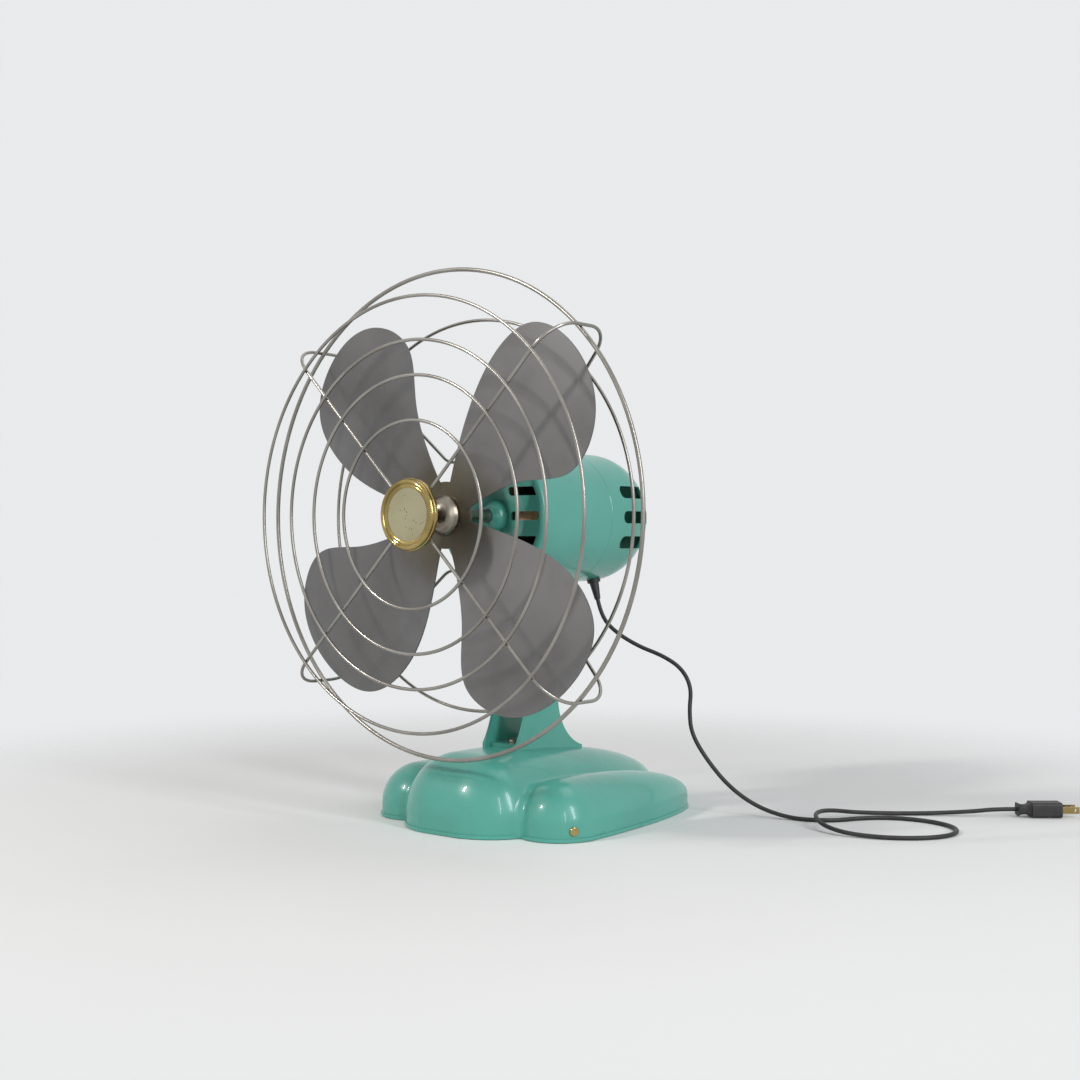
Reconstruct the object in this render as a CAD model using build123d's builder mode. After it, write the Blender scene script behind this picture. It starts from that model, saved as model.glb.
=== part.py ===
from build123d import *
import math
import os

# A 16 inch four-blade desk fan: streamlined three-lobed base, two-cheek yoke, tilting motor
# with vented end shells, one-piece blades and a welded wire guard with a plain round badge.
# Millimetres, Z up, front of the fan towards -Y, origin on the table under the middle.

# Fan axis and guard, measured from the plane of the largest ring
AXIS_Z = 283.5
GUARD_Y = -125.0
GUARD_R = 217.0
RING_1_IN = 135.0
RING_2_IN = 96.0
RING_3_IN = 65.5
RING_4_IN = 27.5
REAR_RING_IN = 39.5
RING_WIRE = 3.0
RIM_WIRE = 3.8
FRAME_WIRE = 3.0
SPOKE_ANGLE = 45.0
SPOKE_FORWARD = 38.7
REAR_RING_BACK = 43.0
GUARD_BEND = 31.0
LEG_BEND = 14.0
WELD = 0.1

# Badge in the middle of the guard
BADGE_R = 32.0
BADGE_DEPTH = 7.4
BADGE_FLOOR = 1.5
DISC_R = 26.0
DISC_T = 3.0
DISC_LIP = 1.4
SPOKE_INNER_R = 16.0
BACKPLATE_R = 27.0
BACKPLATE_T = 2.0
BADGE_SCREW_R = 2.4
BADGE_BOSS_R = 6.0

# Rotor
SHAFT_R = 6.0
SHAFT_FRONT = -6.0
BLADE_GAP = 14.5
BLADE_PLANE = 4.0
BLADE_T = 1.6
BLADE_PITCH = 7.0
BLADE_CAMBER = 5.0
BLADE_COUNT = 4
SPIDER_R = 30.0
HUB_R = 18.0
HUB_NOSE = 15.0
HUB_BARREL_R = 11.0
HUB_BARREL_LENGTH = 20.0
CLAMP_R = 17.0
CLAMP_T = 2.5
GRUB_R = 2.5

# Motor housing
HOUSING_R = 63.0
WALL = 2.0
FACE_BACK = 66.0
DISH_R = 40.0
DISH_DEPTH = 8.0
RIM_FILLET = 5.0
BOSS_R = 14.5
SEAM_BACK = 171.0
SEAM_CHAMFER = 0.5
DOME_BACK = 210.0
DOME_LENGTH = 59.0
REGISTER = 8.0
REGISTER_FIT = 0.05
FRONT_SLOT_IN = 19.0
FRONT_SLOT_R = 57.0
FRONT_SLOT_H = 8.0
FRONT_SLOT_PITCH = 22.5
REAR_SLOT_FRONT = 190.0
REAR_SLOT_LENGTH = 55.0
REAR_SLOT_H = 11.8
REAR_SLOT_PITCH = 24.3
REAR_SLOT_INNER = 25.0
FRONT_SLOT_CORNER = 3.4
REAR_SLOT_CORNER = 5.8
HOUSING_SCREW_TURNS = (95.0, 180.0, 250.0)

# Motor works
BUSH_R = 10.0
BUSH_LENGTH = 24.0
BUSH_SHOULDER = 2.0
REAR_BUSH_IN = 44.0
RUN_FIT = 0.05
SHAFT_HOLE_FIT = 0.6
STATOR_BACK = 95.0
STACK = 60.0
STATOR_RING = 10.0
POLE_W = 24.0
POLE_SHOE_T = 5.0
POLE_SHOE_ARC = 66.0
STATOR_DEPTH = 28.5
AIR_GAP = 0.5
COIL_W = 7.0
COIL_FIT = 0.3
COIL_GAP = 1.0
COIL_NOSE_OUT = 16.0
COIL_NOSE_T = 9.5
COIL_NOSE_GAP = 3.5
END_RING_T = 5.0
END_RING_W = 11.0
COLLAR_R = 13.0
THRUST_T = 1.0

# Guard clips on the motor face
RUN_H = 51.0
CLIP_W = 16.0
CLIP_T = 1.5
CLIP_SCREW_IN = 6.6
CLIP_SCREW_R = 1.9
CLIP_HEAD_R = 3.2

# Yoke and tilt pivot
PIVOT_Y = -5.0
PIVOT_UNDER = 23.0
YOKE_HALF_W = 21.0
SHEET = 3.2
CHEEK_TOP_R = 20.0
NECK_Z = 112.0
NECK_FRONT = 26.5
NECK_REAR = 20.5
FOOT_FRONT = 41.0
FOOT_FRONT_Z = 71.5
FOOT_REAR = 58.0
FOOT_REAR_Z = 63.0
FOOT_Z = 50.0
WEB_HALF = 34.0
PIVOT_BOLT_R = 4.0
HOLE_FIT = 0.1
TILT_WASHER_T = 1.3
TILT_WASHER_R = 13.0
EAR_R = 17.0
EAR_HALF = 25.0
SADDLE_ARC = 44.0
RIVET_R = 2.0
RIVET_HEAD_R = 3.0
RIVET_ARC = 18.5
RIVET_REACH = 19.0
BOLT_HEAD_R = 8.0
BOLT_HEAD_T = 5.0
NUT_T = 6.5

# Base: one centre lobe and two side lobes, each with an upright skirt and a rounded back
SKIRT_H = 13.0
LOBE_FLAT = 13.0
LOBE_R = 55.0
LOBE_NOSE_Y = -130.0
LOBE_NOSE_LENGTH = 46.0
LOBE_CREST_Y = -70.0
LOBE_TAIL_Y = 172.0
SIDE_X = 84.0
SIDE_R = 37.0
SIDE_NOSE_Y = -100.0
SIDE_NOSE_LENGTH = 38.0
SIDE_CREST_Y = -54.0
SIDE_TAIL_Y = 135.0
TIP_TURN = 4.0
BASE_WALL = 2.0
BASE_LIFT = 0.6
VALLEY_FILLET = 8.0
LIP_OUT = 1.2
LIP_H = 3.0
PLATE_T = 1.5
PLATE_FIT = 0.9
FOOT_PAD_R = 8.0
FOOT_PAD_H = 2.0
PAD_FRONT_IN = 28.0
PAD_REAR_IN = 42.0
SIDE_SCREW_Z = 10.0
RIGHT_SCREW_TURN = 33.0
LEFT_SCREW_TURN = 0.0
SIDE_SCREW_R = 1.8
SIDE_SCREW_HEAD_R = 4.0
SIDE_SCREW_HEAD_T = 1.8
TAB_W = 14.0
TAB_T = 2.0
YOKE_SCREW_SPREAD = 20.0
YOKE_SCREW_R = 3.0
YOKE_HEAD_R = 6.0
YOKE_HEAD_T = 3.5
YOKE_NUT_T = 5.0

# Cord and plug
CORD_R = 2.0
GROMMET_BACK = 203.0
GROMMET_TURN = -75.0
GROMMET_FLANGE_R = 6.5
GROMMET_FLANGE_T = 3.0
GROMMET_NECK_R = 4.5
GROMMET_LENGTH = 20.0
CORD_LEAD = 17.0
PLUG_TURN = 38.0
PLUG_Z = 7.5
PLUG_X = 367.0
PLUG_Y = 276.0
PLUG_BODY_LENGTH = 28.0
PLUG_BODY_W = 19.0
PLUG_BODY_H = 14.0
PLUG_RELIEF = 12.0
BLADE_LENGTH = 16.5
BLADE_WIDTH = 6.3
BLADE_THICK = 1.5
BLADE_SPREAD = 12.7

os.makedirs("parts", exist_ok=True)

RING_1_R = GUARD_R - RING_1_IN
RING_2_R = GUARD_R - RING_2_IN
RING_3_R = GUARD_R - RING_3_IN
RING_4_R = GUARD_R - RING_4_IN
REAR_RING_R = GUARD_R - REAR_RING_IN
BLADE_TIP_R = GUARD_R - BLADE_GAP
PIVOT_Z = AXIS_Z - HOUSING_R - PIVOT_UNDER
LOBE_TOP = SKIRT_H + LOBE_R
CLIP_SCREW_H = RUN_H - CLIP_SCREW_IN

FAN_AXIS = Axis((0, 0, AXIS_Z), (0, 1, 0))
# Sketch plane through the fan axis: local x runs back along Y, local y is the height over the axis
AXIS_PLANE = Plane(origin=(0, 0, AXIS_Z), x_dir=(0, 1, 0), z_dir=(1, 0, 0))
FRONT_Y = GUARD_Y - SPOKE_FORWARD
FACE_Y = GUARD_Y + FACE_BACK
SEAM_Y = GUARD_Y + SEAM_BACK
DOME_Y = GUARD_Y + DOME_BACK
DOME_END_Y = DOME_Y + DOME_LENGTH
BLADE_Y = GUARD_Y + BLADE_PLANE
INNER_R = HOUSING_R - WALL
BORE_R = INNER_R - STATOR_DEPTH
BOSS_Y = FACE_Y + DISH_DEPTH


def cross_plane(y):
    """Plane square to the fan axis at y: local x is X, local y is Z, extruding forwards."""
    return Plane(origin=(0, y, AXIS_Z), x_dir=(1, 0, 0), z_dir=(0, -1, 0))


def around_axis(y, radius, angle):
    """Point at a radius and angle about the fan axis, angle 0 to the right and 90 up."""
    turn = math.radians(angle)
    return Vector(radius * math.cos(turn), y, AXIS_Z + radius * math.sin(turn))


def save(node, name):
    node.part.label = name
    export_step(node.part, f"parts/{name}.step")


# Guard rings: each is one closed hoop of round wire
def hoop(name, radius, y, wire):
    with BuildPart() as ring:
        with BuildSketch(AXIS_PLANE):
            with Locations((y, radius)):
                Circle(wire / 2)
        revolve(axis=FAN_AXIS)
    save(ring, name)


front_ring_y = FRONT_Y - (FRAME_WIRE + RING_WIRE) / 2 + WELD
hoop("guard_ring_1", RING_1_R, front_ring_y, RING_WIRE)
hoop("guard_ring_2", RING_2_R, front_ring_y, RING_WIRE)
hoop("guard_ring_3", RING_3_R, front_ring_y, RING_WIRE)
hoop("guard_ring_4", RING_4_R, front_ring_y, RING_WIRE)
hoop("guard_ring_5", GUARD_R, GUARD_Y, RIM_WIRE)
hoop("guard_rear_ring", REAR_RING_R, GUARD_Y + REAR_RING_BACK, RING_WIRE)

# Guard frames: one wire makes two spokes, their bends round the largest ring, two rear legs and
# the straight run that is clipped to the motor face. The leg lies against the rear ring.
run_y = FACE_Y - FRAME_WIRE / 2
leg_inner_r = RUN_H / math.sin(math.radians(SPOKE_ANGLE))
ring_run = REAR_RING_R - leg_inner_r
ring_drop = GUARD_Y + REAR_RING_BACK - run_y
leg_slope = math.tan(
    math.atan2(ring_drop, ring_run)
    + math.asin(((FRAME_WIRE + RING_WIRE) / 2 - WELD) / math.hypot(ring_run, ring_drop))
)
bend_r = GUARD_R + (RIM_WIRE + FRAME_WIRE) / 2 - WELD
bend_rear_y = run_y + leg_slope * (bend_r - leg_inner_r)


def frame_wire(name, side):
    right = side * SPOKE_ANGLE
    left = side * (180 - SPOKE_ANGLE)
    points = [
        around_axis(FRONT_Y, SPOKE_INNER_R, left),
        around_axis(FRONT_Y, bend_r, left),
        around_axis(bend_rear_y, bend_r, left),
        around_axis(run_y, leg_inner_r, left),
        around_axis(run_y, leg_inner_r, right),
        around_axis(bend_rear_y, bend_r, right),
        around_axis(FRONT_Y, bend_r, right),
        around_axis(FRONT_Y, SPOKE_INNER_R, right),
    ]
    bends = [GUARD_BEND, GUARD_BEND, LEG_BEND, LEG_BEND, GUARD_BEND, GUARD_BEND]
    with BuildPart() as frame:
        with BuildLine() as path:
            FilletPolyline(*points, radius=bends)
        with BuildSketch(Plane(origin=points[0], z_dir=points[1] - points[0])):
            Circle(FRAME_WIRE / 2)
        sweep(path=path.wires()[0])
    save(frame, name)


frame_wire("guard_frame_upper", 1)
frame_wire("guard_frame_lower", -1)

# Badge: a turned bezel cup in front of the spokes, its enamel disc, and the plate behind them
badge_back_y = FRONT_Y - FRAME_WIRE / 2
floor_y = badge_back_y - BADGE_FLOOR
plate_front_y = FRONT_Y + FRAME_WIRE / 2
bezel_front_y = badge_back_y - BADGE_DEPTH
step_y = badge_back_y - 0.45 * BADGE_DEPTH
lip_y = floor_y - DISC_T
with BuildPart() as badge_bezel:
    with BuildSketch(AXIS_PLANE):
        with BuildLine():
            Polyline(
                (plate_front_y, BADGE_SCREW_R),
                (plate_front_y, BADGE_BOSS_R),
                (badge_back_y, BADGE_BOSS_R),
                (badge_back_y, BADGE_R),
                (step_y, BADGE_R),
                (step_y, BADGE_R - 1.4),
            )
            ThreePointArc(
                (step_y, BADGE_R - 1.4),
                (bezel_front_y + 0.9, BADGE_R - 2.6),
                (bezel_front_y, BADGE_R - 4.8),
            )
            Polyline(
                (bezel_front_y, BADGE_R - 4.8),
                (lip_y - 0.6, DISC_R - DISC_LIP),
                (lip_y, DISC_R - DISC_LIP),
                (lip_y, DISC_R),
                (floor_y, DISC_R),
                (floor_y, BADGE_SCREW_R),
                (plate_front_y, BADGE_SCREW_R),
            )
        make_face()
    revolve(axis=FAN_AXIS)
save(badge_bezel, "badge_bezel")

with BuildPart() as badge_disc:
    with BuildSketch(cross_plane(floor_y)):
        Circle(DISC_R)
    extrude(amount=DISC_T)
save(badge_disc, "badge_disc")

with BuildPart() as badge_backplate:
    with BuildSketch(cross_plane(plate_front_y)):
        Circle(BACKPLATE_R)
        Circle(BADGE_SCREW_R, mode=Mode.SUBTRACT)
    extrude(amount=-BACKPLATE_T)
save(badge_backplate, "badge_backplate")

with BuildPart() as badge_screw:
    with BuildSketch(cross_plane(floor_y)):
        Circle(BADGE_SCREW_R)
    extrude(amount=-(plate_front_y + BACKPLATE_T - floor_y))
    with BuildSketch(cross_plane(plate_front_y + BACKPLATE_T)):
        Circle(2 * BADGE_SCREW_R)
    extrude(amount=-BADGE_SCREW_R)
    fillet(badge_screw.faces().sort_by(Axis.Y)[-1].edges(), BADGE_SCREW_R / 3)
save(badge_screw, "badge_screw")

# Blades: twisted, slightly cambered sheet lofted along the blade, trimmed to the paddle outline
BLADE_AXIS_ANGLE = 44.0
ROOT_STATION = 0.1 * BLADE_TIP_R
STATIONS = [(0.1, 0.0, 0.0), (0.3, 0.8, 0.5), (0.6, 1.0, 1.0), (1.03, 0.9, 0.8)]
# Paddle outline as (share of the tip radius, degrees from the blade axis), clockwise edge first
OUTLINE = [
    (0.12, -36.0), (0.31, -26.5), (0.52, -28.5), (0.76, -31.0), (0.92, -21.5), (1.0, 0.0),
    (0.93, 16.0), (0.74, 25.0), (0.50, 30.5), (0.28, 33.0), (0.12, 36.0),
]


def blade_point(share, offset):
    turn = math.radians(BLADE_AXIS_ANGLE + offset)
    return (share * BLADE_TIP_R * math.cos(turn), share * BLADE_TIP_R * math.sin(turn))


with BuildPart() as blade:
    along = math.radians(BLADE_AXIS_ANGLE)
    outward = Vector(math.cos(along), 0, math.sin(along))
    tangent = Vector(-math.sin(along), 0, math.cos(along))
    half_chord = 0.55 * BLADE_TIP_R
    for share, twist, camber in STATIONS:
        pitch = math.radians(BLADE_PITCH * twist)
        across = tangent * math.cos(pitch) + Vector(0, 1, 0) * math.sin(pitch)
        centre = Vector(0, BLADE_Y, AXIS_Z) + outward * (share * BLADE_TIP_R)
        sag = BLADE_CAMBER * camber + 0.01
        with BuildSketch(Plane(origin=centre, x_dir=across, z_dir=outward)):
            with BuildLine():
                ThreePointArc((-half_chord, 0), (0, sag), (half_chord, 0))
                Line((half_chord, 0), (half_chord, -BLADE_T))
                ThreePointArc((half_chord, -BLADE_T), (0, sag - BLADE_T), (-half_chord, -BLADE_T))
                Line((-half_chord, -BLADE_T), (-half_chord, 0))
            make_face()
    loft()
    with BuildSketch(cross_plane(BLADE_Y)):
        with BuildLine() as paddle:
            Spline(*[blade_point(*point) for point in OUTLINE])
            Line(paddle.edges()[0] @ 1, paddle.edges()[0] @ 0)
        make_face()
    extrude(amount=BLADE_TIP_R / 2, both=True, mode=Mode.INTERSECT)

with BuildPart() as fan_blades:
    with BuildSketch(cross_plane(BLADE_Y)):
        Circle(SPIDER_R)
    extrude(amount=-BLADE_T)
    for i in range(BLADE_COUNT):
        add(blade.part.rotate(FAN_AXIS, i * 360 / BLADE_COUNT))
    with BuildSketch(cross_plane(BLADE_Y - BLADE_T)):
        Circle(HUB_BARREL_R)
    extrude(amount=-3 * BLADE_T, mode=Mode.SUBTRACT)
save(fan_blades, "fan_blades")

# Hub: turned nose in front of the blades, barrel through them with a grub screw on the shaft
hub_back_y = BLADE_Y + BLADE_T + HUB_BARREL_LENGTH
shaft_front_y = GUARD_Y + SHAFT_FRONT
grub_y = hub_back_y - HUB_BARREL_LENGTH / 3
with BuildPart() as hub:
    with BuildSketch(AXIS_PLANE):
        with BuildLine():
            Polyline(
                (BLADE_Y - HUB_NOSE, 0),
                (hub_back_y, 0),
                (hub_back_y, HUB_BARREL_R),
                (BLADE_Y, HUB_BARREL_R),
                (BLADE_Y, HUB_R),
                (BLADE_Y - 0.2 * HUB_NOSE, HUB_R),
            )
            dome = 0.8 * HUB_NOSE
            dome_r = (HUB_R**2 + dome**2) / (2 * dome)
            dome_turn = math.degrees(math.asin(HUB_R / dome_r))
            CenterArc((BLADE_Y - HUB_NOSE + dome_r, 0), dome_r, 180 - dome_turn, dome_turn)
        make_face()
    revolve(axis=FAN_AXIS)
    with BuildSketch(cross_plane(shaft_front_y)):
        Circle(SHAFT_R)
    extrude(amount=-2 * HUB_BARREL_LENGTH - HUB_NOSE, mode=Mode.SUBTRACT)
    with BuildSketch(Plane(origin=(0, grub_y, AXIS_Z))):
        Circle(GRUB_R)
    extrude(amount=HUB_BARREL_R + 1, mode=Mode.SUBTRACT)
save(hub, "hub")

with BuildPart() as hub_clamp:
    with BuildSketch(cross_plane(BLADE_Y + BLADE_T)):
        Circle(CLAMP_R)
        Circle(HUB_BARREL_R, mode=Mode.SUBTRACT)
    extrude(amount=-CLAMP_T)
save(hub_clamp, "hub_clamp")

with BuildPart() as hub_grub_screw:
    with BuildSketch(Plane(origin=(0, grub_y, AXIS_Z + SHAFT_R))):
        Circle(GRUB_R)
    extrude(amount=HUB_BARREL_R - SHAFT_R)
    with BuildSketch(Plane(origin=(0, grub_y, AXIS_Z + HUB_BARREL_R))):
        Rectangle(2 * GRUB_R, GRUB_R / 3)
    extrude(amount=-GRUB_R / 2, mode=Mode.SUBTRACT)
save(hub_grub_screw, "hub_grub_screw")

# Front housing: drawn cup with a dished, vented face and the ball-shaped bearing boss
shaft_hole_r = SHAFT_R + SHAFT_HOLE_FIT
boss_tip_y = BOSS_Y - math.sqrt(BOSS_R**2 - shaft_hole_r**2)
bush_front_y = BOSS_Y - BOSS_R + BUSH_SHOULDER + 2.5
bush_rear_y = bush_front_y + BUSH_LENGTH
with BuildPart() as front_housing:
    with BuildSketch(AXIS_PLANE):
        with BuildLine():
            ThreePointArc(
                (boss_tip_y, shaft_hole_r),
                (BOSS_Y - BOSS_R * math.cos(math.pi / 4), BOSS_R * math.sin(math.pi / 4)),
                (BOSS_Y, BOSS_R),
            )
            Polyline((BOSS_Y, BOSS_R), (FACE_Y, DISH_R), (FACE_Y, HOUSING_R - RIM_FILLET))
            RadiusArc((FACE_Y, HOUSING_R - RIM_FILLET), (FACE_Y + RIM_FILLET, HOUSING_R), RIM_FILLET)
            Polyline(
                (FACE_Y + RIM_FILLET, HOUSING_R),
                (SEAM_Y - SEAM_CHAMFER, HOUSING_R),
                (SEAM_Y, HOUSING_R - SEAM_CHAMFER),
                (SEAM_Y, INNER_R),
                (FACE_Y + RIM_FILLET, INNER_R),
            )
            inner_corner = RIM_FILLET - WALL
            RadiusArc(
                (FACE_Y + RIM_FILLET, INNER_R),
                (FACE_Y + WALL, INNER_R - inner_corner),
                -inner_corner,
            )
            Polyline(
                (FACE_Y + WALL, INNER_R - inner_corner),
                (FACE_Y + WALL, DISH_R),
                (BOSS_Y + WALL, BOSS_R),
                (bush_rear_y, BOSS_R),
                (bush_rear_y, BUSH_R),
                (bush_front_y, BUSH_R),
                (bush_front_y, shaft_hole_r),
                (boss_tip_y, shaft_hole_r),
            )
        make_face()
    revolve(axis=FAN_AXIS)
    slot_rows = (-FRONT_SLOT_PITCH, 0, FRONT_SLOT_PITCH)
    slot_width = FRONT_SLOT_R - FRONT_SLOT_IN
    slot_middle = (FRONT_SLOT_R + FRONT_SLOT_IN) / 2
    with BuildSketch(cross_plane(FACE_Y)):
        with Locations([(side * slot_middle, row) for side in (-1, 1) for row in slot_rows]):
            RectangleRounded(slot_width, FRONT_SLOT_H, FRONT_SLOT_CORNER)
        Circle(FRONT_SLOT_R, mode=Mode.INTERSECT)
    extrude(amount=-(DISH_DEPTH + 2 * WALL), mode=Mode.SUBTRACT)
    with BuildSketch(cross_plane(FACE_Y)):
        with Locations((0, CLIP_SCREW_H), (0, -CLIP_SCREW_H)):
            Circle(CLIP_SCREW_R)
    extrude(amount=-2 * WALL, mode=Mode.SUBTRACT)
    for y_step in (-RIVET_REACH, RIVET_REACH):
        for turn in (-90 - RIVET_ARC, -90 + RIVET_ARC):
            seat = around_axis(PIVOT_Y + y_step, HOUSING_R, turn)
            with BuildSketch(Plane(origin=seat, z_dir=seat - around_axis(seat.Y, 0, 0))):
                Circle(RIVET_R)
            extrude(amount=2 * WALL, both=True, mode=Mode.SUBTRACT)
    for turn in HOUSING_SCREW_TURNS:
        seat = around_axis(SEAM_Y - REGISTER / 2, HOUSING_R, turn)
        with BuildSketch(Plane(origin=seat, z_dir=seat - around_axis(seat.Y, 0, 0))):
            Circle(RIVET_R)
        extrude(amount=1.5 * WALL, both=True, mode=Mode.SUBTRACT)
save(front_housing, "front_housing")

# Rear housing: domed cup with side vents, a register lip inside the seam and a rear bearing tube
rear_bush_front_y = DOME_END_Y - REAR_BUSH_IN
rear_bush_rear_y = rear_bush_front_y + BUSH_LENGTH
dome_inner = DOME_LENGTH - WALL
tube_turn = math.degrees(math.asin(BOSS_R / INNER_R))
register_r = INNER_R - REGISTER_FIT
with BuildPart() as rear_housing:
    with BuildSketch(AXIS_PLANE):
        with BuildLine():
            EllipticalCenterArc((DOME_Y, 0), DOME_LENGTH, HOUSING_R, 0, arc_size=90)
            Polyline(
                (DOME_Y, HOUSING_R),
                (SEAM_Y + SEAM_CHAMFER, HOUSING_R),
                (SEAM_Y, HOUSING_R - SEAM_CHAMFER),
                (SEAM_Y, register_r),
                (SEAM_Y - REGISTER, register_r),
                (SEAM_Y - REGISTER, INNER_R - WALL),
                (SEAM_Y + REGISTER, INNER_R - WALL),
                (SEAM_Y + REGISTER, INNER_R),
                (DOME_Y, INNER_R),
            )
            inner_size = 90 - tube_turn
            inner = EllipticalCenterArc((DOME_Y, 0), dome_inner, INNER_R, tube_turn, arc_size=inner_size)
            Polyline(
                inner @ 0,
                (rear_bush_front_y, BOSS_R),
                (rear_bush_front_y, BUSH_R),
                (rear_bush_rear_y + 2, BUSH_R),
                (rear_bush_rear_y + 2, 0),
                (DOME_END_Y, 0),
            )
        make_face()
    revolve(axis=FAN_AXIS)
    rear_rows = (-REAR_SLOT_PITCH, 0, REAR_SLOT_PITCH)
    rear_slot_y = GUARD_Y + REAR_SLOT_FRONT + REAR_SLOT_LENGTH / 2
    for side in (-1, 1):
        with BuildSketch(AXIS_PLANE.offset(side * REAR_SLOT_INNER)):
            with Locations([(rear_slot_y, row) for row in rear_rows]):
                RectangleRounded(REAR_SLOT_LENGTH, REAR_SLOT_H, REAR_SLOT_CORNER)
        extrude(amount=side * HOUSING_R, mode=Mode.SUBTRACT)
    grommet_seat = around_axis(GUARD_Y + GROMMET_BACK, HOUSING_R, GROMMET_TURN)
    grommet_out = grommet_seat - around_axis(grommet_seat.Y, 0, 0)
    with BuildSketch(Plane(origin=grommet_seat, z_dir=grommet_out)):
        Circle(GROMMET_NECK_R)
    extrude(amount=3 * WALL, both=True, mode=Mode.SUBTRACT)
    for turn in HOUSING_SCREW_TURNS:
        seat = around_axis(SEAM_Y - REGISTER / 2, HOUSING_R, turn)
        with BuildSketch(Plane(origin=seat, z_dir=seat - around_axis(seat.Y, 0, 0))):
            Circle(RIVET_R)
        extrude(amount=3 * WALL, both=True, mode=Mode.SUBTRACT)
save(rear_housing, "rear_housing")


# Round-headed screws and rivets, each standing on a seat point and pointing along its own axis
def headed_pins(name, seats, shank_r, head_r, head_t, length):
    with BuildPart() as pins:
        for seat, outward in seats:
            head = Plane(origin=seat, z_dir=outward)
            with BuildSketch(head):
                Circle(head_r)
            extrude(amount=head_t)
            with BuildSketch(head):
                Circle(shank_r)
            extrude(amount=-length)
        fillet(
            [
                face.edges()[0]
                for face in pins.faces().filter_by(GeomType.PLANE)
                for seat, outward in seats
                if (face.center() - (Vector(seat) + Vector(outward).normalized() * head_t)).length < 0.01
            ],
            0.45 * head_t,
        )
    save(pins, name)


def radial_seat(y, radius, turn):
    seat = around_axis(y, radius, turn)
    return seat, seat - around_axis(y, 0, 0)


headed_pins(
    "housing_screws",
    [radial_seat(SEAM_Y - REGISTER / 2, HOUSING_R, turn) for turn in HOUSING_SCREW_TURNS],
    RIVET_R, RIVET_HEAD_R, 1.8, 2 * WALL,
)

# Bearings, shaft and thrust pieces
def bush(name, y, length):
    with BuildPart() as sleeve:
        with BuildSketch(cross_plane(y)):
            Circle(BUSH_R)
            Circle(SHAFT_R + RUN_FIT, mode=Mode.SUBTRACT)
        extrude(amount=-length)
    save(sleeve, name)


bush("front_bearing", bush_front_y, BUSH_LENGTH)
bush("rear_bearing", rear_bush_front_y, BUSH_LENGTH)

stator_front_y = GUARD_Y + STATOR_BACK
stator_rear_y = stator_front_y + STACK
with BuildPart() as shaft:
    with BuildSketch(cross_plane(shaft_front_y)):
        Circle(SHAFT_R)
    extrude(amount=-(rear_bush_rear_y - shaft_front_y))
save(shaft, "shaft")

rotor_r = BORE_R - AIR_GAP
with BuildPart() as rotor_core:
    with BuildSketch(cross_plane(stator_front_y)):
        Circle(rotor_r)
        Circle(SHAFT_R, mode=Mode.SUBTRACT)
    extrude(amount=-STACK)
    for end_y in (stator_front_y - END_RING_T, stator_rear_y):
        with BuildSketch(cross_plane(end_y)):
            Circle(rotor_r)
            Circle(rotor_r - END_RING_W, mode=Mode.SUBTRACT)
        extrude(amount=-END_RING_T)
save(rotor_core, "rotor_core")


def collar(name, start_y, end_y, radius, bore):
    with BuildPart() as ring:
        with BuildSketch(cross_plane(start_y)):
            Circle(radius)
            Circle(bore, mode=Mode.SUBTRACT)
        extrude(amount=-(end_y - start_y))
    save(ring, name)


front_thrust_y = bush_rear_y + RUN_FIT
collar("front_thrust_washer", front_thrust_y, front_thrust_y + THRUST_T, COLLAR_R, SHAFT_R)
collar("front_collar", front_thrust_y + THRUST_T, stator_front_y, COLLAR_R - 2, SHAFT_R)
rear_thrust_y = rear_bush_front_y - RUN_FIT
collar("rear_thrust_washer", rear_thrust_y - THRUST_T, rear_thrust_y, COLLAR_R, SHAFT_R)
collar("rear_collar", stator_rear_y, rear_thrust_y - THRUST_T, COLLAR_R - 2, SHAFT_R)

# Stator: laminated ring with four salient poles, each with its own wound coil
with BuildPart() as stator_core:
    with BuildSketch(cross_plane(stator_front_y)):
        Circle(INNER_R)
        Circle(INNER_R - STATOR_RING, mode=Mode.SUBTRACT)
        with PolarLocations(0, 4):
            with Locations(((INNER_R - STATOR_RING / 2 + BORE_R) / 2, 0)):
                Rectangle(INNER_R - STATOR_RING / 2 - BORE_R, POLE_W)
        with BuildLine():
            for i in range(4):
                start = 90 * i - POLE_SHOE_ARC / 2
                shoe_in = CenterArc((0, 0), BORE_R - 1, start, POLE_SHOE_ARC)
                shoe_out = CenterArc((0, 0), BORE_R + POLE_SHOE_T, start, POLE_SHOE_ARC)
                Line(shoe_in @ 0, shoe_out @ 0)
                Line(shoe_in @ 1, shoe_out @ 1)
        make_face()
        Circle(BORE_R, mode=Mode.SUBTRACT)
    extrude(amount=-STACK)
save(stator_core, "stator_core")

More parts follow.
